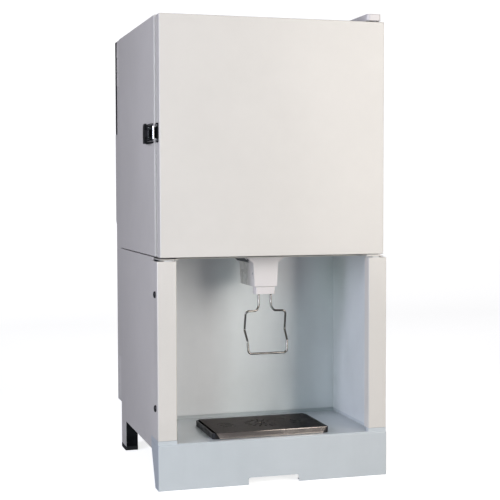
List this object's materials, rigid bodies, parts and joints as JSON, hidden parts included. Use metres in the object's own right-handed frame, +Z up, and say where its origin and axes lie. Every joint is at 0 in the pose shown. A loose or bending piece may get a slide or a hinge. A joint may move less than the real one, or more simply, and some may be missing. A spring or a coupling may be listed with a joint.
{
  "type": "nacho cheese dispenser",
  "caption": "Counter-top heated bag-in-box cheese dispenser: hinged cabinet door with side latch, pinch-tube head with wire cup lever, drip tray.",
  "frame": {"origin": "centre of the cabinet's footprint, on the counter", "axes": "+X to the right seen from the front, +Y to the back, +Z up"},
  "size_m": [0.3754, 0.374, 0.7195],
  "materials": {
    "white_coat": "satin powder coat",
    "satin_steel": "satin, cool tint",
    "brushed_steel": "brushed",
    "polished_steel": "polished wire",
    "tray_steel": "brushed, reflective",
    "galvanised": "zinc coated",
    "dark_steel": "dark satin",
    "screw_steel": "plated",
    "chrome_wire": "polished",
    "aluminium": "cast",
    "copper": "drawn",
    "black_plastic": "moulded, satin",
    "white_plastic": "moulded, satin",
    "grey_plastic": "moulded",
    "black_screws": "black oxide",
    "black_rubber": "moulded",
    "grey_rubber": "extruded",
    "clear_silicone": "translucent",
    "foam": "rigid foam"
  },
  "bodies": {
    "cabinet": {"outer_shell": "white_coat", "front_frame": "grey_plastic", "inner_liner": "brushed_steel", "insulation": "foam", "cabinet_floor": "galvanised", "back_panel": "galvanised", "divider_panel": "white_coat", "left_side_panel": "white_coat", "left_pillar": "white_coat", "bay_left_wall": "satin_steel", "left_rear_leg": "dark_steel", "right_side_panel": "white_coat", "right_pillar": "white_coat", "bay_right_wall": "satin_steel", "right_rear_leg": "dark_steel", "pillar_screws": "screw_steel", "front_skirt": "satin_steel", "base_pan": "galvanised", "bay_back_wall": "satin_steel", "bay_floor": "satin_steel", "leg_caps": "black_rubber", "rear_cover": "white_coat", "rear_grille": "black_plastic", "rear_screws": "screw_steel", "mains_inlet": "black_plastic", "switch_housing": "black_plastic", "top_hinge_bracket": "screw_steel", "bottom_hinge_bracket": "white_coat", "hinge_fasteners": "screw_steel", "top_hinge_cap": "white_plastic", "latch_base": "black_plastic", "latch_fasteners": "screw_steel", "head_housing": "white_plastic", "head_screws": "black_screws", "nozzle_collar": "white_plastic", "lever_pin": "screw_steel", "product_tube": "clear_silicone", "return_spring": "screw_steel", "bag_rack": "brushed_steel", "air_baffle": "brushed_steel", "heater_element": "dark_steel", "fan_motor": "dark_steel", "thermostat": "copper", "control_box": "galvanised"},
    "door": {"door_skin": "white_coat", "door_liner": "white_plastic", "door_insulation": "foam", "door_gasket": "grey_rubber", "hinge_bushes": "white_plastic", "latch_keeper": "black_plastic", "keeper_screws": "screw_steel"},
    "latch_handle": {"latch_lever": "black_plastic"},
    "latch_loop": {"latch_bail": "chrome_wire"},
    "dispensing_lever": {"cup_lever": "polished_steel", "lever_yoke": "white_plastic"},
    "catch": {"head_catch": "grey_plastic"},
    "fan": {"fan_rotor": "aluminium"},
    "switch": {"power_rocker": "black_plastic"},
    "tray": {"drip_tray": "black_plastic"},
    "tray_cover": {"drip_tray_cover": "tray_steel"}
  },
  "joints": [
    {"name": "door_hinge", "type": "hinge", "parent": "cabinet", "child": "door", "pos_m": [0.1668, -0.172, 0.53], "axis": [0, 0, 1], "range_deg": [0, 110]},
    {"name": "latch_lever_hinge", "type": "hinge", "parent": "cabinet", "child": "latch_handle", "pos_m": [-0.1855, -0.143, 0.5335], "axis": [0, 0, 1], "range_deg": [0, 90]},
    {"name": "latch_bail_hinge", "type": "hinge", "parent": "latch_handle", "child": "latch_loop", "pos_m": [-0.1852, -0.136, 0.5335], "axis": [0, 0, 1], "range_deg": [-90, 0]},
    {"name": "cup_lever_hinge", "type": "hinge", "parent": "cabinet", "child": "dispensing_lever", "pos_m": [0, -0.129, 0.318], "axis": [1, 0, 0], "range_deg": [0, 16], "stiffness_Nm_per_rad": 0.8, "springref_deg": -17.19, "deforming": ["return_spring"]},
    {"name": "head_catch_slide", "type": "slide", "parent": "cabinet", "child": "catch", "axis": [0, 1, 0], "range_m": [0, 0.005]},
    {"name": "fan_spin", "type": "hinge", "parent": "cabinet", "child": "fan", "pos_m": [0, 0.0855, 0.56], "axis": [0, 1, 0], "continuous": true},
    {"name": "power_rocker_hinge", "type": "hinge", "parent": "cabinet", "child": "switch", "pos_m": [0.118, 0.178, 0.111], "axis": [1, 0, 0], "range_deg": [0, 10]},
    {"name": "drip_tray_slide", "type": "slide", "parent": "cabinet", "child": "tray", "axis": [0, -1, 0], "range_m": [0, 0.13]},
    {"name": "tray_cover_lift", "type": "slide", "parent": "tray", "child": "tray_cover", "axis": [0, 0, 1], "range_m": [0, 0.05]}
  ],
  "couplings": [
    {"joint": "latch_bail_hinge", "follows": "latch_lever_hinge", "ratio": -1}
  ]
}
